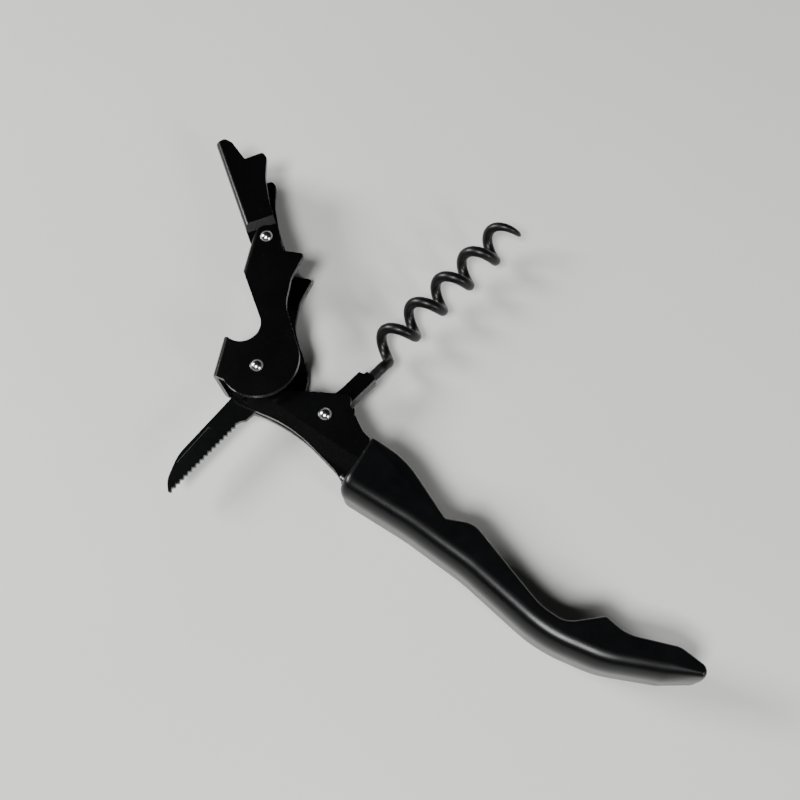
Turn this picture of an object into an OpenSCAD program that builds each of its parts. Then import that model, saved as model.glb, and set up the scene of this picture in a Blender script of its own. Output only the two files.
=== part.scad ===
// Two-step lever corkscrew, lying on its side with every tool part open.
// The design frame has the lever pivot at its origin, X along the handle to its tail
// and Y to the open side. Every pivot runs along Z.

/* [Handle] */
// Distance from the lever pivot to the tail tip of the grip
tail_x = 108; // [100:1:124]
// Distance from the lever pivot to the front face of the grip
grip_x = 30.6; // [30:0.2:33]
// Thickness of the grip across its two flat sides
grip_t = 15.5; // [14:0.1:18]
// Radius of the rounded spine edge
spine_r = 5.2; // [3:0.1:6.5]
// Depth of the grip from its open side to its spine at the front
grip_h = 12.7; // [12.4:0.1:13.4]
// Drop of the finger hollow nearest the head
hollow_1 = 5.5; // [4.6:0.1:5.9]
// Drop of the long finger hollow near the tail
hollow_2 = 9; // [8:0.1:9.4]

/* [Frame] */
// Thickness of the frame's sheet
frame_s = 1.0; // [0.8:0.1:1.2]
// Outside width of the frame over its two cheeks
frame_w = 7.7; // [7.4:0.1:8]
// Radius of the head round the lever pivot
head_r = 6.2; // [5.6:0.1:6.6]
// Distance from the lever pivot to the worm pivot along the handle
worm_x = 18.2; // [17.8:0.1:19.5]
// Height of the worm pivot
worm_y = 0; // [-0.4:0.1:0.2]
// Length of the tang inside the grip
tang_l = 26; // [20:1:28]

/* [Lever] */
// Distance from the lever pivot to the middle hinge
link_l = 32.5; // [31.5:0.1:34.5]
// Distance from the middle hinge to the end of the long prong
end_l = 30; // [27:0.1:32]
// Thickness of the lever's sheet
lever_s = 1.1; // [0.9:0.1:1.3]
// Side gap between nested sheets
side_gap = 0.1; // [0.06:0.01:0.15]
// Radius of the cap lifter's mouth
cap_r = 4.2; // [3.8:0.1:4.6]
// Reach of the first step's hook below the link's centre line
hook_y = 8.5; // [7.8:0.1:9]
// Outside radius of the folded edges
fold_r = 1.3; // [1.2:0.1:1.6]

/* [Worm] */
// Diameter of the worm's wire
wire_d = 2.4; // [2.2:0.1:2.8]
// Radius of the coil, measured to the middle of the wire
coil_r = 2.95; // [2.6:0.05:3.1]
// Pitch of the coil
pitch = 8.8; // [8:0.1:9.4]
// Number of turns
turns = 5; // [4:0.5:5]
// Distance from the worm pivot to the start of the coil
shank_l = 18.3; // [18:0.1:20]
// Lean of the coil's axis against the shank
coil_lean = 0.3; // [0:0.1:4]
// Thickness of the yoke where it clamps the wire
yoke_t = 3.2; // [3:0.1:3.8]
// Length of the yoke beyond the worm pivot
yoke_l = 13.5; // [12:0.1:14]

/* [Knife] */
// Distance from the knife pin to the tip of the blade
knife_l = 25.2; // [23:0.1:26]
// Thickness of the blade
knife_t = 1.0; // [0.8:0.1:1.2]
// Number of teeth along the edge
teeth = 17; // [12:1:22]
// Place of the knife pin along the handle
knife_x = 0.9; // [0.6:0.1:1.4]
// Depth of the knife pin below the lever pivot
knife_y = 6.7; // [6.5:0.1:6.9]

/* [Rivets] */
// Diameter of the rivets' shanks
rivet_d = 2.2; // [1.8:0.1:2.4]
// Diameter of the rivets' domed heads
dome_d = 3.0; // [2.8:0.1:3.4]
// Diameter of the knife pin and the frame pin
pin_d = 1.2; // [1:0.1:1.6]

/* [Pose] */
// Direction of the lower link from the handle's axis
lever_at = 125.5; // [110:0.5:135]
// Bend of the upper link's web line against the lower link
end_at = 20.2; // [10:0.2:21]
// Direction of the worm's shank from the handle's axis
worm_at = 81.9; // [70:0.1:90]
// Direction of the knife from the handle's axis
knife_at = -92.5; // [-100:0.5:-85]

/* [Hidden] */
$fn = 48;

run_gap = 0.05;    // radial clearance of every running fit
seat_gap = 0.02;   // face gap between a rivet head and the sheet it closes on
stack_gap = 0.05;  // end gap of the parts stacked between the cheeks
dome_h = 0.9;      // height of the rivets' domed heads
hinge_r = 2.9;     // radius of the links' ends round the middle hinge
lever_shut = 4;    // direction of the lower link when the lever is folded away
worm_shut = -9.2;  // direction of the coil's axis when the worm is folded away

// Half widths of the nested channels, from the inside out
frame_in = frame_w / 2 - frame_s;
frame_out = frame_w / 2;
lever_in = frame_out + dome_h + 0.4;
lever_out = lever_in + lever_s;
neck_out = lever_in - side_gap;
neck_in = neck_out - lever_s;
pocket = lever_out + 2 * side_gap;
yoke_out = frame_in - 0.35;
leaf_in = knife_t / 2 + run_gap;
leaf_out = leaf_in + frame_s;
coil_out = coil_r + wire_d / 2;

// Points on an arc and a polygon's points with each corner rounded to its own radius
function arc(c, r, from, to, n = 16) =
    [for (i = [0:n]) let (a = from + (to - from) * i / n) c + r * [cos(a), sin(a)]];
function unit(v) = v / norm(v);
function corner(a, p, b, r, n) =
    let (u = unit(a - p), v = unit(b - p), half = acos(max(-1, min(1, u * v))) / 2,
         d = min(r / tan(half), 0.49 * min(norm(a - p), norm(b - p))), q = d * tan(half),
         c = p + unit(u + v) * q / sin(half), s = p + u * d - c, e = p + v * d - c,
         t0 = atan2(s[1], s[0]), turn = atan2(s[0] * e[1] - s[1] * e[0], s * e))
    [for (i = [0:n]) c + q * [cos(t0 + turn * i / n), sin(t0 + turn * i / n)]];
function rounded(p, n = 10) =
    [for (i = [0:len(p) - 1])
        let (k = len(p), a = p[(i + k - 1) % k], b = p[(i + 1) % k], r = p[i][2])
        each (r == 0 ? [[p[i][0], p[i][1]]]
                     : corner([a[0], a[1]], [p[i][0], p[i][1]], [b[0], b[1]], r, n))];
function turned(p, a) = [p[0] * cos(a) - p[1] * sin(a), p[0] * sin(a) + p[1] * cos(a)];

// The row frame: the middle of the footprint, on the flat side that the part lies on
hinge = turned([link_l, 0], lever_at);
prong_end = hinge + turned([end_l, 4], lever_at + end_at);
coil_start = [worm_x, worm_y] + turned([shank_l, 0], worm_at)
             + turned([0, coil_r], worm_at - coil_lean);
worm_tip = coil_start + turned([turns * pitch, 0], worm_at - coil_lean);
knife_tip = [knife_x, -knife_y] + turned([knife_l, 0], knife_at);
middle = [(prong_end[0] + tail_x) / 2, (knife_tip[1] + worm_tip[1]) / 2];

module in_row() translate([-middle[0], -middle[1], grip_t / 2]) children();
module on_lever() in_row() rotate([0, 0, lever_at]) children();
module on_lever_end() on_lever() translate([link_l, 0, 0]) rotate([0, 0, end_at]) children();
module on_worm() in_row() translate([worm_x, worm_y, 0]) rotate([0, 0, worm_at]) children();
module on_knife() in_row() translate([knife_x, -knife_y, 0]) rotate([0, 0, knife_at]) children();
module slab(from, to) translate([0, 0, from]) linear_extrude(to - from) children();
module cheeks(inside, outside) {
    slab(inside, outside) children();
    slab(-outside, -inside) children();
}

// Grip: a moulding with a wavy open side, a pocket for the lever, a channel for the worm
// and a slot that holds the frame's tang
grip_top = 0.6;
spine_y = grip_top - grip_h;
function grip_edge(inset) = rounded([
    [grip_x, grip_top, 0.5], [grip_x + 8.5, grip_top, 26],
    [grip_x + 21.9, grip_top - hollow_1, 1.2], [grip_x + 27, grip_top - 3.1, 5],
    [grip_x + 45.9, grip_top - hollow_2, 12], [grip_x + 51.3, grip_top - hollow_2, 5],
    [tail_x - 20.6, grip_top - 3.8, 0.9], [tail_x - 15.8, grip_top - 4.4, 8],
    [tail_x - 6.8, grip_top - 0.8, 4], [tail_x - 1.2, grip_top - 1.2, 1.5],
    [tail_x - inset * 0.3, grip_top - 3, 1],
    [tail_x - 6 - inset * 0.3, spine_y + 5.2 + inset * 0.8, 8],
    [tail_x - 16.5, spine_y + 0.1 + inset, 22], [tail_x - 28, spine_y - 2.3 + inset, 30],
    [tail_x - 47, spine_y + 0.2 + inset, 40], [grip_x + 16, spine_y + 0.6 + inset, 50],
    [grip_x + inset * 0.4, spine_y - 0.2 + inset, 1.8]]);
function spine_inset(z) =
    let (k = max(0, z - (grip_t / 2 - spine_r))) spine_r - sqrt(spine_r * spine_r - k * k);
layers = 4;
pocket_x = grip_x + 5.4;
pocket_end = link_l + end_l + 2.4;
hinge_shut = turned([link_l, 0], lever_shut);
coil_x = worm_x + shank_l + 0.7;
coil_end = coil_x + turns * pitch + 1.6;
function channel_y(x) = worm_y + 0.6 - coil_out - 0.6 + (x - coil_x) * tan(worm_shut);
tang_y = channel_y(grip_x + tang_l) - 0.8;
tang_low = spine_y + 2.3;
module grip() color([0.03, 0.03, 0.03]) in_row() difference() {
    for (i = [0:layers]) {
        z = grip_t / 2 - spine_r * (1 - sin(90 * i / layers)) - (i == layers ? 0 : 0.01);
        linear_extrude(2 * z, center = true) polygon(grip_edge(0.62 * spine_inset(z)));
    }
    slab(-pocket, pocket) polygon([
        [grip_x - 5, 14], [grip_x - 5, -1.7], [pocket_x - 0.6, -1.7],
        [pocket_x, channel_y(pocket_x)], [pocket_end, channel_y(pocket_end)],
        [pocket_end + 1, 14]]);
    cheeks(neck_out - 0.1, pocket) polygon(rounded([
        [pocket_x, 0, 0], [pocket_x, channel_y(pocket_x), 1], [pocket_x + 2, -7.6, 2],
        [pocket_end - 6, -7.6, 2], [pocket_end, -5, 2], [pocket_end, 0, 0]]));
    slab(-coil_out - 0.5, coil_out + 0.5) polygon(rounded([
        [pocket_x, 14, 0], [pocket_x, channel_y(pocket_x), 0],
        [coil_end, channel_y(coil_end), 4], [coil_end, 14, 0]]));
    slab(-leaf_out - run_gap, leaf_out + run_gap)
        polygon([[grip_x - 5, 0], [grip_x - 5, tang_low], [grip_x + tang_l + run_gap, tang_low],
                 [grip_x + tang_l + run_gap, 0]]);
    along_x(grip_x - 5, pocket_x) polygon(concat(
        leaf_side(frame_out + run_gap, leaf_out + run_gap, 14, -9, -run_gap),
        [[-9, 0], [14, 0]]));
    along_x(grip_x - 5, pocket_x) mirror([0, 1]) polygon(concat(
        leaf_side(frame_out + run_gap, leaf_out + run_gap, 14, -9, -run_gap),
        [[-9, 0], [14, 0]]));
}

// Frame: one folded sheet; two cheeks that draw in below a crease to a slot for the knife
crease_y = -4.1;
pinch_y = -7.2;
function leaf_side(wide, narrow, top, bottom, lift) =
    [[top, wide], [crease_y + lift, wide], [pinch_y + lift, narrow], [bottom, narrow]];
function reversed(p) = [for (i = [len(p) - 1:-1:0]) p[i]];
module along_x(from, to) translate([from, 0, 0]) rotate([90, 0, 90])
    linear_extrude(to - from) children();
frame_edge = concat(
    rounded([[0, 2, 0], [2, -head_r + 2, 0], [6.6, -1.6, 1.5], [worm_x - 7.2, worm_y + 1.4, 30],
             [worm_x + 1.9, worm_y + 6.6, 0.9], [worm_x + 3.3, worm_y + 4.5, 3],
             [grip_x - 3.6, 1.4, 9], [grip_x - 1.25, 0.85, 0]]),
    arc(hinge_shut, hinge_r + 0.5, 205, 262, 8),
    rounded([[grip_x + 1.4, -1.4, 0], [grip_x + 1.4, -7.3, 1], [grip_x + 14, -7.3, 3],
             [grip_x + tang_l, tang_y, 0.6], [grip_x + tang_l, tang_low + 0.1, 0],
             [grip_x - 0.6, tang_low + 0.1, 1], [27, -8.4, 12], [13.6, -5.8, 39],
             [knife_x - 1.5, -knife_y - 1.7, 1.2], [knife_x - 3.8, -knife_y + 0.2, 0.9],
             [-2.6, -3, 0]]));
pin_at = [grip_x - 1.4, tang_low + 1.15];
module frame() color([0.02, 0.02, 0.02]) in_row() difference() {
    union() {
        intersection() {
            linear_extrude(2 * frame_w, center = true) union() {
                polygon(frame_edge);
                circle(r = head_r);
            }
            for (side = [0, 1]) mirror([0, 0, side])
                along_x(-20, grip_x + tang_l + 5) polygon(concat(
                    leaf_side(frame_out, leaf_out, 14, -20, 0),
                    reversed(leaf_side(frame_in, leaf_in, 14, -20, 0.33))));
        }
        slab(-leaf_in - 0.1, leaf_in + 0.1) polygon([
            [grip_x + 3, tang_low + 0.1], [grip_x + tang_l, tang_low + 0.1],
            [grip_x + tang_l, tang_low + 1.1], [grip_x + 3, tang_low + 1.1]]);
    }
    cylinder(h = 3 * frame_w, d = rivet_d + 2 * seat_gap, center = true);
    translate([worm_x, worm_y, 0])
        cylinder(h = 3 * frame_w, d = rivet_d + 2 * seat_gap, center = true);
    translate([knife_x, -knife_y, 0])
        cylinder(h = 3 * frame_w, d = pin_d + 2 * seat_gap, center = true);
    translate([pin_at[0], pin_at[1], 0])
        cylinder(h = 3 * frame_w, d = pin_d + 2 * seat_gap, center = true);
}

// Lower link: a folded channel with the cap lifter's mouth and the first step's hook
web_at = -10.2;        // direction of the web's fold line in the link's own frame
web_root = 9.1;        // distance of that line from the lever pivot
nose = [1.5, -0.4];
nose_r = 8.7;
cap_at = [cap_r + 5.8, 4.0];
ramp_u = link_l - 8.4;
function web_v(u) = (web_root + u * sin(web_at)) / cos(web_at);
lower_edge = concat(
    [[-1.9, web_v(-1.9)]], arc(nose, nose_r, 122, 286, 30),
    rounded([[3.9, -8.76, 0], [14.5, -5.3, 10], [link_l - 11, -hook_y + 2.2, 6],
             [link_l - 5.1, -hook_y - 0.45, 0.6], [link_l - 4.1, -4.2, 0.5],
             [link_l + 0.8, -hinge_r, 0]]),
    arc([link_l, 0], hinge_r, -70, 65, 20),
    [[link_l - 1.4, web_v(link_l - 1.4)], [ramp_u, web_v(ramp_u)]],
    arc(cap_at, cap_r, 292, 137, 20), [[7.2, web_v(7.2)]]);
module u_channel(at, root, from, to, inside, outside, s) {
    rotate([0, 0, at]) translate([from, root, 0]) rotate([90, 0, 90])
        linear_extrude(to - from) difference() {
            polygon(rounded([[0, -outside, fold_r], [0, outside, fold_r],
                             [-40, outside, 0], [-40, -outside, 0]]));
            polygon(rounded([[-s, -inside, fold_r - s], [-s, inside, fold_r - s],
                             [-41, inside, 0], [-41, -inside, 0]]));
        }
}
module lower_link() color([0.02, 0.02, 0.02]) on_lever() difference() {
    intersection() {
        linear_extrude(4 * lever_out, center = true) polygon(lower_edge);
        u_channel(web_at, web_root, -20, link_l + 10, lever_in, lever_out, lever_s);
    }
    slab(-lever_in, lever_in) polygon([
        [link_l - 1.6, 0], [link_l + 6, 0], [link_l + 6, 8], [link_l - 1.6, 8]]);
    cylinder(h = 3 * frame_w, d = rivet_d + 2 * run_gap, center = true);
    translate([link_l, 0, 0])
        cylinder(h = 3 * frame_w, d = rivet_d + 2 * seat_gap, center = true);
}

// Upper link: its neck is stepped in to turn between the lower link's cheeks
end_web = 4.0;
step_in = 3.3;
step_out = 4.9;
upper_edge = rounded([
    [0.5, end_web, 0.2], [end_l, end_web, 0.2], [end_l + 0.4, 1.6, 1],
    [end_l - 1.4, 0.2, 0.8], [end_l - 7.3, -1.3, 0.4], [end_l - 7.1, -5.9, 0.9],
    [end_l - 8.9, -6.3, 0.9], [end_l - 14.6, -4.3, 12], [9, -3.3, 10], [step_out, -3.1, 2],
    [0, -hinge_r - 0.1, 2], [-hinge_r, -hinge_r, hinge_r - 0.2], [-hinge_r, 0, 2],
    [-1.2, 2.6, 2], [0.5, 2.7, 0]]);
function step_line(narrow, wide) =
    [[-6, narrow], [step_in, narrow], [step_out, wide], [end_l + 2, wide]];
function mirrored(p) = [for (i = [len(p) - 1:-1:0]) [p[i][0], -p[i][1]]];
module upper_link() color([0.02, 0.02, 0.02]) on_lever_end() difference() {
    intersection() {
        linear_extrude(4 * lever_out, center = true) polygon(upper_edge);
        rotate([90, 0, 0]) union() {
            linear_extrude(40, center = true) union() {
                polygon(concat(step_line(neck_in, lever_in),
                    [for (i = [3:-1:0]) step_line(neck_out, lever_out)[i]]));
                polygon(concat(step_line(-neck_in, -lever_in),
                    [for (i = [3:-1:0]) step_line(-neck_out, -lever_out)[i]]));
            }
            translate([0, 0, -end_web - 1]) linear_extrude(lever_s + 1)
                polygon(concat(step_line(neck_out, lever_out),
                               mirrored(step_line(neck_out, lever_out))));
        }
        translate([-10, end_web, 0]) rotate([90, 0, 90]) linear_extrude(end_l + 20)
            polygon(rounded([[0, -lever_out, fold_r], [0, lever_out, fold_r],
                             [-40, lever_out, 0], [-40, -lever_out, 0]]));
    }
    cylinder(h = 3 * frame_w, d = rivet_d + 2 * run_gap, center = true);
}

// Worm: one wire, straight in the yoke, then a right-handed coil ground to a point
wire_sides = 12;
turn_steps = 22;
point_steps = 11;
coil_rings = turns * turn_steps;
function taper(i) = let (k = coil_rings - i) k > point_steps ? 1
    : 0.2 + 0.8 * pow(k / point_steps, 0.5);
function coil_p(i) = let (a = -360 * i / turn_steps, x = pitch * i / turn_steps)
    let (p = [x, -coil_r * cos(a)], q = turned(p, -coil_lean),
         o = turned([0, coil_r], -coil_lean))
    [shank_l + o[0] + q[0], o[1] + q[1], coil_r * sin(a)];
blend_l = 1.2;
worm_path = concat([[4.8, 0, 0], [yoke_l - 3, 0, 0], [shank_l - blend_l, 0, 0]],
                   [for (i = [2:coil_rings]) coil_p(i)]);
worm_r = concat([1, 1, 1], [for (i = [2:coil_rings]) taper(i)]);
function lined(p, i) = unit(p[min(i + 1, len(p) - 1)] - p[max(i - 1, 0)]);
function ring(c, d, r) = let (u = unit(cross(d, [0.02, 0.03, 1])), v = cross(d, u))
    [for (k = [0:wire_sides - 1]) let (a = 360 * k / wire_sides) c + r * (cos(a) * u + sin(a) * v)];
module worm() color([0.03, 0.03, 0.04]) on_worm() {
    rings = len(worm_path);
    points = [for (i = [0:rings - 1])
        each ring(worm_path[i], lined(worm_path, i), worm_r[i] * wire_d / 2)];
    sides = [for (i = [0:rings - 2], k = [0:wire_sides - 1])
        let (a = i * wire_sides, b = a + wire_sides, m = (k + 1) % wire_sides)
        each [[a + k, b + k, b + m], [a + k, b + m, a + m]]];
    ends = [[for (k = [0:wire_sides - 1]) k],
            [for (k = [wire_sides - 1:-1:0]) (rings - 1) * wire_sides + k]];
    polyhedron(points, concat(sides, ends));
}

// Yoke: two pressed halves that clamp the wire and spread apart towards the worm pivot
yoke_low = -wire_d / 2 - 0.2;
yoke_edge = rounded([
    [-2.4, -2.4, 2.3], [2.6, -2.4, 1.5], [5, yoke_low, 1.5], [yoke_l, yoke_low, 0.3],
    [yoke_l, wire_d / 2, 0.3], [yoke_l - 0.9, wire_d / 2 + 0.1, 0.4],
    [yoke_l - 1.2, 2.45, 0.3], [4, 2.45, 2], [2.4, 2.5, 1], [-2.4, 2.4, 2.3]]);
yoke_s = 1.1;
yoke_seam = 0.05;
module yoke_half() difference() {
    intersection() {
        linear_extrude(2 * yoke_out) polygon(yoke_edge);
        rotate([90, 0, 0]) linear_extrude(20, center = true) polygon([
            [-4, yoke_out], [3, yoke_out], [7, yoke_t / 2], [yoke_l + 2, yoke_t / 2],
            [yoke_l + 2, yoke_seam], [6.4, yoke_seam], [2.5, yoke_out - yoke_s],
            [-4, yoke_out - yoke_s]]);
    }
    translate([1.6, 0, 0]) rotate([0, 90, 0])
        cylinder(h = yoke_l, d = wire_d + 2 * seat_gap);
    cylinder(h = 3 * frame_w, d = rivet_d + 2 * run_gap, center = true);
}
module yoke_half_near() color([0.02, 0.02, 0.02]) on_worm() yoke_half();
module yoke_half_far() color([0.02, 0.02, 0.02]) on_worm() mirror([0, 0, 1]) yoke_half();

// Knife: a short serrated blade that folds up into the slot between the frame's leaves
blade_back = 3.2;
tooth_x = 4.8;
tooth_w = (knife_l - 0.4 - tooth_x) / teeth;
tooth_h = 0.45;
function tooth_y(i) = 2.1 - 1.2 * i / teeth;
knife_edge = concat(
    arc([0, 0], blade_back, 110, 270, 14),
    rounded([[0, -blade_back, 0], [knife_l - 7.2, -blade_back - 0.35, 9],
             [knife_l - 1.8, -1.6, 5], [knife_l + 0.1, 0.5, 0.4], [knife_l - 0.2, 0.9, 0]], 6),
    [for (i = [teeth:-1:1]) each [
        [tooth_x + tooth_w * i, tooth_y(i)],
        [tooth_x + tooth_w * (i - 0.55), tooth_y(i) - tooth_h]]],
    [[tooth_x - 0.6, 2.1], [3.4, 2.9], [1.4, 3.2]]);
module knife_blade() color([0.02, 0.02, 0.02]) on_knife() difference() {
    slab(-knife_t / 2, knife_t / 2) polygon(knife_edge);
    cylinder(h = 4 * knife_t, d = pin_d + 2 * run_gap, center = true);
    translate([14.4, -blade_back + 0.9, knife_t / 2]) cube([10, 0.5, 0.5], center = true);
}

// Rivets: a plain shank with a domed head formed on each end
module rivet(d, head_d, grip_half) {
    cylinder(h = 2 * (grip_half + 0.3), d = d, center = true);
    for (side = [0, 1]) mirror([0, 0, side]) translate([0, 0, grip_half + seat_gap])
        dome(head_d / 2, dome_h * head_d / dome_d);
}
module dome(r, h) {
    ball = (r * r + h * h) / (2 * h);
    rotate_extrude() intersection() {
        translate([0, h - ball]) circle(r = ball, $fn = 96);
        square([r, h]);
    }
}
module lever_rivet() color("silver") in_row() rivet(rivet_d, dome_d, lever_out);
module worm_rivet() color("silver") in_row() translate([worm_x, worm_y, 0])
    rivet(rivet_d, dome_d, frame_out);
module hinge_rivet() color("silver") on_lever() translate([link_l, 0, 0])
    rivet(rivet_d, dome_d, lever_out);
module knife_pin() color("dimgray") in_row() translate([knife_x, -knife_y, 0])
    cylinder(h = 2 * leaf_out - 0.1, d = pin_d, center = true);
module frame_pin() color("silver") in_row() translate([pin_at[0], pin_at[1], 0])
    rivet(pin_d, pin_d + 0.5, leaf_out);

// Loose parts between the cheeks
module sleeve(from, to, bore_d, outer_d) difference() {
    slab(from, to) circle(d = outer_d);
    translate([0, 0, from - 1]) cylinder(h = to - from + 2, d = bore_d + 2 * run_gap);
}
module lever_spacer() color("gray") in_row()
    sleeve(-frame_in + stack_gap, frame_in - stack_gap, rivet_d, rivet_d + 1.6);
module lever_washer() sleeve(frame_out + stack_gap, lever_in - stack_gap, rivet_d, rivet_d + 2.6);
module lever_washer_near() color("gray") in_row() lever_washer();
module lever_washer_far() color("gray") in_row() mirror([0, 0, 1]) lever_washer();
module worm_washer() sleeve(yoke_out + stack_gap, frame_in - stack_gap, rivet_d, rivet_d + 2.4);
module worm_washer_near() color("gray") in_row() translate([worm_x, worm_y, 0]) worm_washer();
module worm_washer_far() color("gray") in_row() translate([worm_x, worm_y, 0])
    mirror([0, 0, 1]) worm_washer();

grip();
frame();
frame_pin();
lower_link();
upper_link();
worm();
yoke_half_near();
yoke_half_far();
knife_blade();
lever_rivet();
worm_rivet();
hinge_rivet();
knife_pin();
lever_spacer();
lever_washer_near();
lever_washer_far();
worm_washer_near();
worm_washer_far();
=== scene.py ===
import math

import bmesh
import bpy
import numpy as np
from mathutils import Matrix, Vector


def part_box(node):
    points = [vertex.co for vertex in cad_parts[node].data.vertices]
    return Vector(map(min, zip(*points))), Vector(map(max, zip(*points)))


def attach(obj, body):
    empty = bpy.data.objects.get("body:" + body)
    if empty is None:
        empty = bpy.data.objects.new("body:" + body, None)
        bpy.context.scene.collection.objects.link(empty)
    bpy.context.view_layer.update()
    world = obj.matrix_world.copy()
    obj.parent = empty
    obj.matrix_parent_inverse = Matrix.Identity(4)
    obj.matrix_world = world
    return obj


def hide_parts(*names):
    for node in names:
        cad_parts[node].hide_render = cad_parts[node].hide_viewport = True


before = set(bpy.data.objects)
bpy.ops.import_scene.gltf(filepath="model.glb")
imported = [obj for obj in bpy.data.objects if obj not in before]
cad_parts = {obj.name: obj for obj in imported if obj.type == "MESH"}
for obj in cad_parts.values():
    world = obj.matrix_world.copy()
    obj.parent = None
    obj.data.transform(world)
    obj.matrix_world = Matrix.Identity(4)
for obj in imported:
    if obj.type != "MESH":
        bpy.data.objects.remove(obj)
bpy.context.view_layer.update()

# The floor: a plain pale sheet that the tool lies on, wide enough to fill the main view.
# It is matt with a faint sheen, and is not part of the tool.
class Shade:
    """A shader output that takes part in plain arithmetic; add() makes any other node."""

    def __init__(self, tree, socket=None):
        self.tree, self.socket = tree, socket

    def add(self, kind, settings=None, inputs=None, out=0):
        node = self.tree.nodes.new(kind)
        for key, value in (settings or {}).items():
            if key == "stops":
                ramp = node.color_ramp
                while len(ramp.elements) < len(value):
                    ramp.elements.new(0.5)
                for element, (place, tone) in zip(ramp.elements, value):
                    element.position = place
                    element.color = (tone, tone, tone, 1)
            else:
                setattr(node, key, value)
        for key, value in (inputs or {}).items():
            if isinstance(value, Shade):
                self.tree.links.new(value.socket, node.inputs[key])
            else:
                node.inputs[key].default_value = value
        return Shade(self.tree, node.outputs[out])

    def maths(self, operation, *values):
        return self.add("ShaderNodeMath", {"operation": operation}, dict(enumerate(values)))

    def __add__(self, other):
        return self.maths("ADD", self, other)

    def __radd__(self, other):
        return self.maths("ADD", other, self)

    def __sub__(self, other):
        return self.maths("SUBTRACT", self, other)

    def __rsub__(self, other):
        return self.maths("SUBTRACT", other, self)

    def __mul__(self, other):
        return self.maths("MULTIPLY", self, other)

    def __rmul__(self, other):
        return self.maths("MULTIPLY", other, self)

    def noise(self, place, scale, detail=3.0, rough=0.5):
        return self.add("ShaderNodeTexNoise", None,
                        {"Vector": place, "Scale": scale, "Detail": detail, "Roughness": rough})

    def ramp(self, value, *stops):
        return self.add("ShaderNodeValToRGB", {"stops": stops}, {0: value})

    def tint(self, amount, low, high):
        return self.add("ShaderNodeMix", {"data_type": "RGBA"},
                        {0: amount, 6: (*low, 1), 7: (*high, 1)}, out=2)


def finish_of(name, fixed, varied, relief=None):
    """A material: fixed socket values, varied(shade, place) -> linked sockets, relief -> bump."""
    material = bpy.data.materials.new(name)
    material.use_nodes = True
    tree = material.node_tree
    surface = tree.nodes["Principled BSDF"]
    for socket, value in fixed.items():
        surface.inputs[socket].default_value = value
    shade = Shade(tree)
    place = shade.add("ShaderNodeTexCoord", out=3)
    for socket, value in varied(shade, place).items():
        tree.links.new(value.socket, surface.inputs[socket])
    if relief:
        height, depth = relief(shade, place)
        bump = shade.add("ShaderNodeBump", None,
                         {"Height": height, "Strength": 1.0, "Distance": depth})
        tree.links.new(bump.socket, surface.inputs["Normal"])
    return material


def floor_look(shade, place):
    cloud = shade.noise(place, 9.0, 4.0)
    return {"Base Color": shade.tint(cloud, (0.66, 0.66, 0.645), (0.73, 0.73, 0.715)),
            "Roughness": 0.40 + 0.12 * shade.noise(place, 60.0)}


floor_half, floor_drop = 1.6, 0.0002
floor_mesh = bpy.data.meshes.new("floor")
floor_mesh.from_pydata([(x * floor_half, y * floor_half, -floor_drop)
                        for x, y in ((-1, -1), (1, -1), (1, 1), (-1, 1))], [], [(0, 1, 2, 3)])
floor = bpy.data.objects.new("floor", floor_mesh)
bpy.context.collection.objects.link(floor)
floor_mesh.materials.append(finish_of("pale_floor", {"Specular IOR Level": 0.3}, floor_look))

# The camera stands on the spine's side of the tool and looks down on it at about 67 degrees,
# so that the lever points up and to the left and the grip runs down to the right.
rivet_low, rivet_high = (Vector(corner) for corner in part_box("lever_rivet"))
pivot = (rivet_low + rivet_high) / 2


def placed(x, y, z):
    """A point given in mm from the lever pivot, as a point of the row in metres."""
    return (pivot.x + x / 1000, pivot.y + y / 1000, pivot.z + z / 1000)


camera_aim = placed(27.09, 13.80, -3.98)
camera_away = 0.19718
camera_turn, camera_tilt, camera_roll = (math.radians(a) for a in (44.844, 23.144, -9.782))
camera_data = bpy.data.cameras.new("camera")
camera_data.sensor_width = 36
camera_data.lens = 40.275
camera_data.clip_start = 0.01
camera = bpy.data.objects.new("camera", camera_data)
bpy.context.collection.objects.link(camera)
camera.matrix_world = (Matrix.Translation(camera_aim) @ Matrix.Rotation(camera_turn, 4, "Z")
                       @ Matrix.Rotation(camera_tilt, 4, "X")
                       @ Matrix.Rotation(camera_roll, 4, "Z")
                       @ Matrix.Translation((0, 0, camera_away)))
bpy.context.scene.camera = camera

# Studio light: a high soft box on the spine's side, a broad one beyond the head and a small one
# past the tail, under a sky that is black overhead so that the flat sides stay dark.
for name, place, size, watts in (
        ("key_light", (0.10, -0.39, 0.74), (0.20, 0.20), 7.0),
        ("left_light", (-0.66, -0.24, 0.46), (0.28, 0.28), 7.0),
        ("tail_window", (0.72, -0.12, 0.42), (0.16, 0.20), 2.5)):
    light = bpy.data.lights.new(name, "AREA")
    light.shape = "RECTANGLE"
    light.size, light.size_y = size
    light.energy = watts
    lamp = bpy.data.objects.new(name, light)
    lamp.location = place
    lamp.rotation_euler = (-Vector(place)).to_track_quat("-Z", "Y").to_euler()
    bpy.context.collection.objects.link(lamp)

world = bpy.data.worlds.new("studio")
bpy.context.scene.world = world
world.use_nodes = True
background = world.node_tree.nodes["Background"]
sky = Shade(world.node_tree)
sky_height = sky.add("ShaderNodeSeparateXYZ", None, {0: sky.add("ShaderNodeTexCoord", out=0)}, out=2)
glow = sky.ramp(sky_height, (0.0, 0.62), (0.22, 0.40), (0.42, 0.03), (0.6, 0.0))
world.node_tree.links.new(glow.socket, background.inputs["Color"])
background.inputs["Strength"].default_value = 0.6

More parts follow.
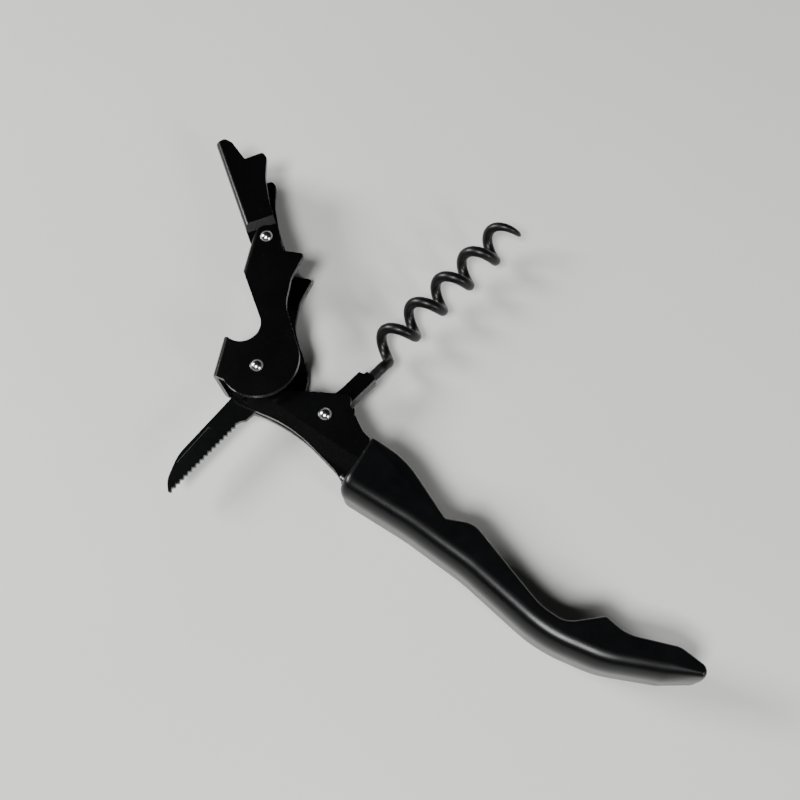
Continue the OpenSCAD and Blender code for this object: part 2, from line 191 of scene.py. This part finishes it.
# The grip: one hard black moulding with a satin surface. Its two sides are flat, its spine
# is rounded, and its open side has the finger hollows, the lever's pocket and the worm's
# channel. It is pushed onto the frame's tang.
def eased(before, corner, after, radius, steps):
    """The arc that rounds one corner, made tighter where its two sides are short."""
    to_before = np.subtract(before, corner) / np.linalg.norm(np.subtract(before, corner))
    to_after = np.subtract(after, corner) / np.linalg.norm(np.subtract(after, corner))
    half_angle = math.acos(max(-1.0, min(1.0, float(to_before @ to_after)))) / 2
    reach = min(radius / math.tan(half_angle),
                0.49 * min(math.dist(before, corner), math.dist(after, corner)))
    bend = reach * math.tan(half_angle)
    middle = to_before + to_after
    centre = np.add(corner, middle / np.linalg.norm(middle) * bend / math.sin(half_angle))
    first = np.add(corner, to_before * reach) - centre
    last = np.add(corner, to_after * reach) - centre
    start = math.atan2(first[1], first[0])
    turn = math.atan2(first[0] * last[1] - first[1] * last[0], float(first @ last))
    return [(centre[0] + bend * math.cos(start + turn * i / steps),
             centre[1] + bend * math.sin(start + turn * i / steps)) for i in range(steps + 1)]


def rounded(points, steps=10):
    """An outline whose every point is x, y and the radius that its corner is rounded to."""
    outline = []
    for i, (x, y, radius) in enumerate(points):
        before, after = points[i - 1][:2], points[(i + 1) % len(points)][:2]
        outline += [(x, y)] if radius == 0 else eased(before, (x, y), after, radius, steps)
    return outline


def mesh_object(name, vertices, faces, material=None):
    """A piece with smooth faces in its finish, or a flat-faced cutter when it has none."""
    mesh = bpy.data.meshes.new(name)
    mesh.from_pydata(vertices, [], faces)
    mesh.update()
    piece = bpy.data.objects.new(name, mesh)
    bpy.context.collection.objects.link(piece)
    if material:
        mesh.materials.append(material)
    for face in mesh.polygons:
        face.use_smooth = material is not None
    return piece


def turn_outwards(piece):
    shell = bmesh.new()
    shell.from_mesh(piece.data)
    bmesh.ops.recalc_face_normals(shell, faces=shell.faces)
    shell.to_mesh(piece.data)
    shell.free()


def side_faces(rings, around):
    """The faces between neighbouring rings of points, where each ring has `around` points."""
    return [(ring * around + k, (ring + 1) * around + k,
             (ring + 1) * around + (k + 1) % around, ring * around + (k + 1) % around)
            for ring in range(rings - 1) for k in range(around)]


def end_faces(rings, around):
    return [tuple(range(around)), tuple(reversed(range((rings - 1) * around, rings * around)))]


def cutter(near_ring, far_ring):
    around = len(near_ring)
    solid = mesh_object("cut", [placed(*point) for point in near_ring + far_ring],
                        end_faces(2, around) + side_faces(2, around))
    turn_outwards(solid)
    return solid


def prism(outline, low, high):
    return cutter([(x, y, low) for x, y in outline], [(x, y, high) for x, y in outline])


def cut_away(piece, cutters):
    for solid in cutters:
        cut = piece.modifiers.new("cut", "BOOLEAN")
        cut.operation, cut.solver, cut.object = "DIFFERENCE", "EXACT", solid
    seen = bpy.context.evaluated_depsgraph_get()
    piece.data = bpy.data.meshes.new_from_object(piece.evaluated_get(seen))
    piece.modifiers.clear()
    for solid in cutters:
        bpy.data.objects.remove(solid)


tail_x, grip_x, grip_half = 108.0, 30.6, 7.75
grip_top, grip_depth, hollow_1, hollow_2 = 0.6, 12.7, 5.5, 9.0
spine_y = grip_top - grip_depth
spine_r, spine_share = 5.2, 0.62
edge_r, edge_share = 0.8, 0.75
spacing, level_steps = 0.8, 22


def grip_outline(inset):
    return rounded([
        (grip_x, grip_top, 0.5), (grip_x + 8.5, grip_top, 26),
        (grip_x + 21.9, grip_top - hollow_1, 1.2), (grip_x + 27, grip_top - 3.1, 5),
        (grip_x + 45.9, grip_top - hollow_2, 12), (grip_x + 51.3, grip_top - hollow_2, 5),
        (tail_x - 20.6, grip_top - 3.8, 0.9), (tail_x - 15.8, grip_top - 4.4, 8),
        (tail_x - 6.8, grip_top - 0.8, 4), (tail_x - 1.2, grip_top - 1.2, 1.5),
        (tail_x - inset * 0.3, grip_top - 3, 1),
        (tail_x - 6 - inset * 0.3, spine_y + 5.2 + inset * 0.8, 8),
        (tail_x - 16.5, spine_y + 0.1 + inset, 22), (tail_x - 28, spine_y - 2.3 + inset, 30),
        (tail_x - 47, spine_y + 0.2 + inset, 40), (grip_x + 16, spine_y + 0.6 + inset, 50),
        (grip_x + inset * 0.4, spine_y - 0.2 + inset, 1.8)], 14)


def drawn_in(outline, amount):
    """The outline moved inwards by a small even amount, for the softened side edges."""
    points = np.array(outline)
    along = np.roll(points, -1, 0) - np.roll(points, 1, 0)
    along /= np.maximum(np.linalg.norm(along, axis=1, keepdims=True), 1e-9)
    return points + amount * np.stack([along[:, 1], -along[:, 0]], 1)


def filled(outline, counts):
    """The outline with each of its sides cut into its own count of equal steps."""
    return [(a[0] + (b[0] - a[0]) * k / count, a[1] + (b[1] - a[1]) * k / count)
            for a, b, count in zip(outline, outline[1:] + outline[:1], counts)
            for k in range(count)]


def round_off(z, radius):
    """How far a quarter round along the side's edge has fallen back at height z."""
    past = max(0.0, abs(z) - (grip_half - radius))
    return radius - math.sqrt(max(0.0, radius * radius - past * past))


flat_outline = grip_outline(0)
counts = [max(1, round(math.dist(a, b) / spacing))
          for a, b in zip(flat_outline, flat_outline[1:] + flat_outline[:1])]
levels = [grip_half * math.sin(math.radians(90 * k / level_steps))
          for k in range(-level_steps, level_steps + 1)]
grip_points = []
for z in levels:
    outline = filled(grip_outline(spine_share * round_off(z, spine_r)), counts)
    grip_points += [placed(x, y, z) for x, y in drawn_in(outline, edge_share * round_off(z, edge_r))]


def plastic_look(shade, place):
    cloud = shade.noise(place, 90.0, 5.0)
    rub = shade.ramp(shade.noise(place, 420.0, 6.0, 0.7), (0.45, 0.0), (0.75, 1.0))
    return {"Base Color": shade.tint(cloud, (0.0007, 0.0008, 0.0010), (0.0016, 0.0018, 0.0021)),
            "Roughness": 0.25 + 0.06 * cloud + 0.05 * rub}


def plastic_relief(shade, place):
    grain = shade.noise(place, 5200.0, 2.0)
    waves = shade.noise(place, 160.0, 2.0)
    return grain * 0.5 + waves * 1.2, 0.00002


grip = mesh_object("grip_moulding", grip_points,
                   side_faces(len(levels), sum(counts)) + end_faces(len(levels), sum(counts)),
                   finish_of("black_moulding", {"Specular IOR Level": 0.28, "IOR": 1.5},
                             plastic_look, plastic_relief))
turn_outwards(grip)

run_gap, sliver = 0.05, 0.001
pocket, slot_in, coil_out, leaf_out, frame_out = 6.45, 4.95, 4.15, 1.55, 3.85
pocket_x, pocket_end, coil_x, coil_end = grip_x + 5.4, 64.9, 37.2, 82.8
before_grip, over_grip = grip_x - 5, 14
worm_shut = math.radians(-9.2)
tang_end, tang_low = grip_x + 26, spine_y + 2.3
crease_y, pinch_y, leaf_end = -4.1, -7.2, -9


def channel_y(x):
    return -coil_out + (x - coil_x) * math.tan(worm_shut)


lever_pocket = [
    (before_grip, over_grip), (before_grip, -1.7), (pocket_x - 0.6, -1.7),
    (pocket_x, channel_y(pocket_x)), (pocket_end, channel_y(pocket_end)),
    (pocket_end + 1, over_grip)]
side_slot = rounded([
    (pocket_x, 0, 0), (pocket_x, channel_y(pocket_x), 1), (pocket_x + 2, -7.6, 2),
    (pocket_end - 6, -7.6, 2), (pocket_end, -5, 2), (pocket_end, 0, 0)])
worm_channel = rounded([
    (pocket_x, over_grip, 0), (pocket_x, channel_y(pocket_x), 0),
    (coil_end, channel_y(coil_end), 4), (coil_end, over_grip, 0)])
tang_slot = [
    (before_grip, 0), (before_grip, tang_low), (tang_end + run_gap, tang_low),
    (tang_end + run_gap, 0)]
mouth_side = [
    (over_grip, frame_out + run_gap), (crease_y - run_gap, frame_out + run_gap),
    (pinch_y - run_gap, leaf_out + run_gap), (leaf_end, leaf_out + run_gap)]
mouth = [(y, -z) for y, z in mouth_side] + [(y, z) for y, z in reversed(mouth_side)]
cut_away(grip, [
    prism(lever_pocket, -pocket, pocket),
    prism(side_slot, slot_in, pocket - sliver), prism(side_slot, sliver - pocket, -slot_in),
    prism(worm_channel, -coil_out - 0.5, coil_out + 0.5),
    prism(tang_slot, -leaf_out - run_gap, leaf_out + run_gap),
    cutter([(before_grip, y, z) for y, z in mouth], [(pocket_x + 0.01, y, z) for y, z in mouth])])
grip.modifiers.new("sharp_edges", "EDGE_SPLIT").split_angle = math.radians(32)
grip.modifiers.new("flat_sides", "WEIGHTED_NORMAL").weight = 100
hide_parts("grip")
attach(grip, "handle")

# The frame, the two links and the yoke: steel sheet, blanked, folded and coated in satin
# black. Their colour is painted lighter on upright faces, a painted highlight on the cut edges and
# the folds.
def painted_edge_highlight(shade, start, full):
    """The mask of a painted highlight: 1 on surfaces that stand upright, 0 on those that lie flat,
    by the normal's height.
    """
    flatness = shade.add("ShaderNodeSeparateXYZ", None,
                         {0: shade.add("ShaderNodeNewGeometry", out=1)}, out=2)
    return 1 - shade.ramp(shade.maths("ABSOLUTE", flatness), (start, 0.0), (full, 1.0))


def coat_look(shade, place):
    cloud = shade.noise(place, 120.0, 4.0)
    marks = shade.ramp(shade.noise(place, 900.0, 8.0, 0.75), (0.56, 0.0), (0.72, 1.0))
    # A painted highlight: the base colour is lightened on upright faces (cut edges and folds); cloud
    # is random tone and marks are scratches.
    tone = 0.04 * cloud + 0.9 * painted_edge_highlight(shade, 0.35, 0.7) + 0.06 * marks
    return {"Base Color": shade.tint(tone, (0.0006, 0.0006, 0.0007), (0.022, 0.023, 0.0235)),
            "Roughness": 0.24 + 0.06 * cloud + 0.04 * marks}


def coat_relief(shade, place):
    return shade.noise(place, 1500.0, 3.0), 0.00001


satin_coat = finish_of("satin_black_coat", {"IOR": 1.5, "Specular IOR Level": 0.34},
                       coat_look, coat_relief)


def dress(node, material, edge):
    """Gives a CAD piece its finish, with edges softened by this many metres."""
    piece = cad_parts[node]
    for slot in piece.material_slots:
        slot.material = material
    if not piece.material_slots:
        piece.data.materials.append(material)
    for face in piece.data.polygons:
        face.use_smooth = True
    piece.modifiers.new("joined", "WELD").merge_threshold = 0.000002
    evened = piece.modifiers.new("even_faces", "DECIMATE")
    evened.decimate_type, evened.angle_limit = "DISSOLVE", math.radians(1)
    soft = piece.modifiers.new("soft_edges", "BEVEL")
    soft.width, soft.segments = edge, 2
    soft.limit_method, soft.angle_limit = "ANGLE", math.radians(35)
    soft.use_clamp_overlap = True
    piece.modifiers.new("flat_sides", "WEIGHTED_NORMAL").weight = 80


for node in ("frame", "lower_link", "upper_link"):
    dress(node, satin_coat, 0.00012)
for node in ("yoke_half_near", "yoke_half_far"):
    dress(node, satin_coat, 0.0001)

# The worm: one round steel wire with a glossy black coat, straight in the yoke, eased over
# into five right-handed turns and ground down to a point.
wire_r, coil_r, pitch, turns, shank_l = 1.2, 2.95, 8.8, 5, 18.3
worm_x, worm_y = 18.2, 0.0
worm_at, coil_lean = math.radians(81.9), math.radians(0.3)
shank_stops = (4.8, 7.4, 10.0, 13.0, 15.6, shank_l - 1.2)
turn_steps, point_steps, curve_steps, wire_sides = 22, 11, 4, 28
first_step, tip_share = 2, 0.2


def leaned(x, y, angle):
    return (x * math.cos(angle) - y * math.sin(angle), x * math.sin(angle) + y * math.cos(angle))


def threaded(points, steps):
    """A smooth curve through the points, in the given number of steps from each to the next."""
    points = np.array(points)
    run = [2 * points[0] - points[1], *points, 2 * points[-1] - points[-2]]
    curve = []
    for p0, p1, p2, p3 in zip(run, run[1:], run[2:], run[3:]):
        t0, t1 = 0.0, math.sqrt(np.linalg.norm(p1 - p0))
        t2 = t1 + math.sqrt(np.linalg.norm(p2 - p1))
        t3 = t2 + math.sqrt(np.linalg.norm(p3 - p2))
        for k in range(steps):
            t = t1 + (t2 - t1) * k / steps
            a1 = (t1 - t) / (t1 - t0) * p0 + (t - t0) / (t1 - t0) * p1
            a2 = (t2 - t) / (t2 - t1) * p1 + (t - t1) / (t2 - t1) * p2
            a3 = (t3 - t) / (t3 - t2) * p2 + (t - t2) / (t3 - t2) * p3
            b1 = (t2 - t) / (t2 - t0) * a1 + (t - t0) / (t2 - t0) * a2
            b2 = (t3 - t) / (t3 - t1) * a2 + (t - t1) / (t3 - t1) * a3
            curve.append((t2 - t) / (t2 - t1) * b1 + (t - t1) / (t2 - t1) * b2)
    return np.array(curve + [points[-1]])


control = [(x, 0, 0) for x in shank_stops]
girth = [1.0] * len(control)
coil_start = leaned(0, coil_r, -coil_lean)
for i in range(first_step, turns * turn_steps + 1):
    angle = -2 * math.pi * i / turn_steps
    x, y = leaned(pitch * i / turn_steps, -coil_r * math.cos(angle), -coil_lean)
    control.append((shank_l + coil_start[0] + x, coil_start[1] + y, coil_r * math.sin(angle)))
    left = min(1.0, (turns * turn_steps - i) / point_steps)
    girth.append(tip_share + (1 - tip_share) * math.sqrt(left))

path = threaded(control, curve_steps)
radii = wire_r * np.interp(np.arange(len(path)) / curve_steps, np.arange(len(girth)), girth)
along = np.gradient(path, axis=0)
along /= np.linalg.norm(along, axis=1, keepdims=True)
side = np.cross(along, (0.02, 0.03, 1.0))
side /= np.linalg.norm(side, axis=1, keepdims=True)
lift = np.cross(along, side)
wire_points = []
for centre, radius, u, v in zip(path, radii, side, lift):
    for k in range(wire_sides):
        angle = 2 * math.pi * k / wire_sides
        point = centre + radius * (math.cos(angle) * u + math.sin(angle) * v)
        x, y = leaned(point[0], point[1], worm_at)
        wire_points.append(placed(worm_x + x, worm_y + y, point[2]))


def wire_look(shade, place):
    cloud = shade.noise(place, 300.0, 4.0)
    drawn = shade.ramp(shade.noise(place, 1800.0, 6.0, 0.7), (0.5, 0.0), (0.75, 1.0))
    return {"Base Color": shade.tint(cloud, (0.0012, 0.0013, 0.0015), (0.0030, 0.0032, 0.0035)),
            "Roughness": 0.33 + 0.08 * cloud + 0.05 * drawn}


def wire_relief(shade, place):
    return shade.noise(place, 1400.0, 3.0), 0.000008


worm = mesh_object("worm_wire", wire_points,
                   side_faces(len(path), wire_sides) + end_faces(len(path), wire_sides),
                   finish_of("glossy_wire_coat", {"IOR": 1.5, "Specular IOR Level": 0.36},
                             wire_look, wire_relief))
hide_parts("worm")
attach(worm, "worm_arm")

# The knife: a thin strip of blade steel with a row of fine teeth and a pressed nail nick,
# coated black and held on its own pin between the frame's leaves.
def grind_lines(shade, place):
    stretched = shade.add("ShaderNodeMapping", None, {0: place, 3: (6.0, 1.0, 1.0)})
    return shade.noise(stretched, 1500.0, 3.0)


def blade_look(shade, place):
    lines = grind_lines(shade, place)
    # A painted highlight: the base colour is lightened on upright faces (the blade's edges, teeth
    # and nail nick); lines are grinding marks.
    tone = 0.05 * lines + 0.9 * painted_edge_highlight(shade, 0.5, 0.95)
    return {"Base Color": shade.tint(tone, (0.0006, 0.0006, 0.0008), (0.06, 0.065, 0.066)),
            "Roughness": 0.20 + 0.08 * lines}


def blade_relief(shade, place):
    return grind_lines(shade, place), 0.00001


blade_coat = finish_of("blade_coat", {"IOR": 1.5, "Specular IOR Level": 0.34},
                       blade_look, blade_relief)
dress("knife_blade", blade_coat, 0.00008)

# The rivets and pins: steel, headed over on both sides. The three large ones are polished
# bright, the small frame pin is left plain, and the knife's pin is flush and coated.
def worn_steel(name, dark, pale, roughness, wear_roughness):
    def look(shade, place):
        wear = shade.noise(place, 1600.0, 6.0, 0.7)
        return {"Base Color": shade.tint(wear, dark, pale),
                "Roughness": roughness + wear_roughness * wear}
    return finish_of(name, {"Metallic": 1.0}, look)


bright_steel = worn_steel("polished_rivet", (0.62, 0.62, 0.63), (0.78, 0.78, 0.78), 0.14, 0.12)
dull_steel = worn_steel("plain_pin", (0.10, 0.10, 0.105), (0.20, 0.20, 0.21), 0.26, 0.16)
lever_out, rivet_r, dome_r, dome_h = 6.25, 1.1, 1.5, 0.9
pin_r, pin_dome_r, pin_dome_h = 0.6, 0.85, 0.51
seat_gap, dome_steps, rivet_sides = 0.02, 14, 48


def headed(node, body, reach, head_r, head_h, shank_r, material):
    """A pin in place of the CAD's one, with a domed head seated `reach` out on each side."""
    low, high = (Vector(corner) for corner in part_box(node))
    centre = (low + high) / 2
    ball = (head_r ** 2 + head_h ** 2) / (2 * head_h)
    spread = math.asin(min(1.0, head_r / ball))
    seat = reach + seat_gap
    half_profile = [(ball * math.sin(spread * k / dome_steps),
                     seat + head_h - ball + ball * math.cos(spread * k / dome_steps))
                    for k in range(dome_steps + 1)] + [(shank_r, seat)]
    profile = half_profile + [(r, -z) for r, z in reversed(half_profile)]
    rings = profile[1:-1]
    points = [(centre.x + r * math.cos(2 * math.pi * k / rivet_sides) / 1000,
               centre.y + r * math.sin(2 * math.pi * k / rivet_sides) / 1000,
               centre.z + z / 1000) for r, z in rings for k in range(rivet_sides)]
    top, bottom, last = len(points), len(points) + 1, len(points) - rivet_sides
    points += [(centre.x, centre.y, centre.z + profile[0][1] / 1000),
               (centre.x, centre.y, centre.z + profile[-1][1] / 1000)]
    faces = side_faces(len(rings), rivet_sides)
    faces += [(top, k, (k + 1) % rivet_sides) for k in range(rivet_sides)]
    faces += [(bottom, last + (k + 1) % rivet_sides, last + k) for k in range(rivet_sides)]
    piece = mesh_object(node + "_head", points, faces, material)
    piece.modifiers.new("sharp_edges", "EDGE_SPLIT").split_angle = math.radians(40)
    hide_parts(node)
    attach(piece, body)


for node, body, reach in (("lever_rivet", "handle", lever_out), ("worm_rivet", "handle", frame_out),
                          ("hinge_rivet", "lever", lever_out)):
    headed(node, body, reach, dome_r, dome_h, rivet_r, bright_steel)
headed("frame_pin", "handle", leaf_out, pin_dome_r, pin_dome_h, pin_r, dull_steel)
# The knife pin's end takes the sheet coat's colour, with its painted highlight on upright faces.
dress("knife_pin", finish_of("dark_pin_end", {"Metallic": 0.6}, coat_look), 0.00005)

# Loose steel parts on the rivets: the sleeve and the two washers that the lever turns beside,
# and the two washers beside the worm's yoke, all plain.
for node in ("lever_spacer", "lever_washer_near", "lever_washer_far", "worm_washer_near",
             "worm_washer_far"):
    dress(node, dull_steel, 0.00006)
